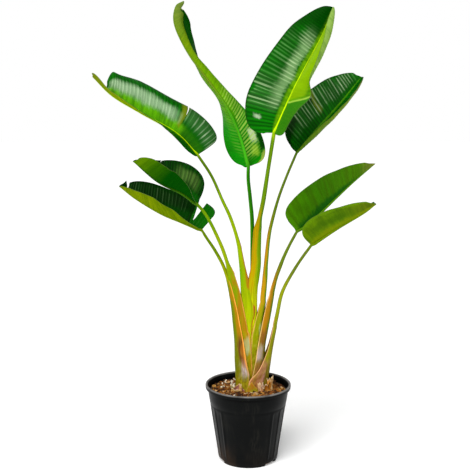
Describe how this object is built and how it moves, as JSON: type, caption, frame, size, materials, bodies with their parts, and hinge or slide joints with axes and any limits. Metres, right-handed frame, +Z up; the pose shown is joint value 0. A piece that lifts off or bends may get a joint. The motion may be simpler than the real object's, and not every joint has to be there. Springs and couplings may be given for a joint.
{
  "type": "potted giant white bird of paradise",
  "caption": "Tall upright foliage plant with long paddle leaves on clasping stalks, in a round fluted nursery pot filled with bark mix.",
  "frame": {"origin": "on the floor, at the middle of the pot's base", "axes": "+Z up, along the pot's axis; -Y towards the viewer in the picture; +X to the viewer's right"},
  "size_m": [0.8576, 0.3732, 1.4217],
  "materials": {
    "pot_plastic": "satin black moulded plastic",
    "bark_soil": "rough bark chips and fibre",
    "stalk_skin": "smooth waxy plant skin",
    "leaf_green": "glossy leaf with fine side veins",
    "dry_scrap_1": "dry dead sheath",
    "dry_scrap_2": "dry dead sheath",
    "dry_scrap_3": "dry dead sheath",
    "dry_scrap_4": "dry dead sheath"
  },
  "bodies": {
    "root": {"pot": "pot_plastic", "soil": "bark_soil", "stalk_a": "stalk_skin", "stalk_b": "stalk_skin", "stalk_c": "stalk_skin", "stalk_d": "stalk_skin", "stalk_e": "stalk_skin", "stalk_f": "stalk_skin", "stalk_g": "stalk_skin", "stalk_h": "stalk_skin", "blade_a": "leaf_green", "blade_b": "leaf_green", "blade_c": "leaf_green", "blade_d": "leaf_green", "blade_e": "leaf_green", "blade_f": "leaf_green", "blade_g": "leaf_green", "blade_h": "leaf_green", "dry_scrap_1": "dry_scrap_1", "dry_scrap_2": "dry_scrap_2", "dry_scrap_3": "dry_scrap_3", "dry_scrap_4": "dry_scrap_4"}
  },
  "joints": []
}
